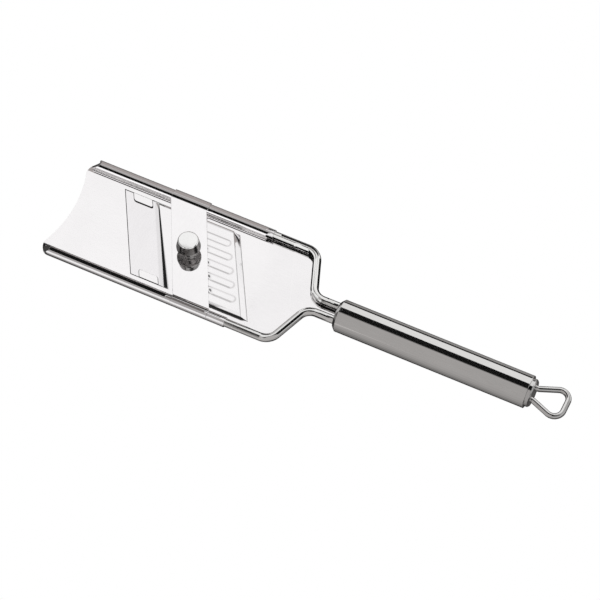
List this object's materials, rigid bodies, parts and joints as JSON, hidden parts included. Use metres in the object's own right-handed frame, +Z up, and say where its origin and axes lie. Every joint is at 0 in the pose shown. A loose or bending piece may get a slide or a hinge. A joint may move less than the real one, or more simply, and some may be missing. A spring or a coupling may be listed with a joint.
{
  "type": "handheld mandoline slicer",
  "caption": "Flat steel hand slicer with a skewed straight blade, a crinkle blade, a sliding knobbed blade cover on rolled rails, a round handle and a hanging loop.",
  "frame": {"origin": "under the middle of the slicer's length and width, level with the lowest line of the handle", "axes": "+X from the front edge to the handle, +Y to the right of a hand holding it, +Z up out of the deck's top face"},
  "size_m": [0.3176, 0.071, 0.0253],
  "materials": {
    "deck_steel": "mirror-polished stainless sheet",
    "rod_steel": "bright polished stainless wire",
    "blade_steel": "finely ground stainless blade with a ground bevel",
    "crinkle_steel": "polished stainless blade strip",
    "cover_steel": "mirror-polished stainless sheet",
    "knob_steel": "turned and polished stainless",
    "clamp_steel": "plain stainless spring strip",
    "handle_steel": "satin stainless tube",
    "loop_steel": "bright stainless wire"
  },
  "bodies": {
    "frame": {"deck_plate": "deck_steel", "frame_rod_left": "rod_steel", "frame_rod_right": "rod_steel", "straight_blade": "blade_steel", "crinkle_blade": "crinkle_steel", "handle_tube": "handle_steel", "handle_front_cap": "handle_steel", "handle_end_cap": "handle_steel", "hanging_loop": "loop_steel"},
    "cover": {"cover_slide": "cover_steel"},
    "knob": {"cover_knob": "knob_steel"},
    "clamp": {"clamp_bridge": "clamp_steel", "clamp_stud": "clamp_steel"}
  },
  "joints": [
    {"name": "cover_slide_x", "type": "slide", "parent": "frame", "child": "cover", "axis": [1, 0, 0], "range_m": [-0.04, 0.012]},
    {"name": "knob_turn", "type": "hinge", "parent": "cover", "child": "knob", "pos_m": [-0.07845, 0, 0.0128], "axis": [0, 0, 1], "range_deg": [-180, 0]},
    {"name": "clamp_lift", "type": "slide", "parent": "cover", "child": "clamp", "axis": [0, 0, 1], "range_m": [0, 0.00035]}
  ],
  "couplings": [
    {"joint": "knob_turn", "follows": "clamp_lift", "rad_per_m": -8970}
  ]
}
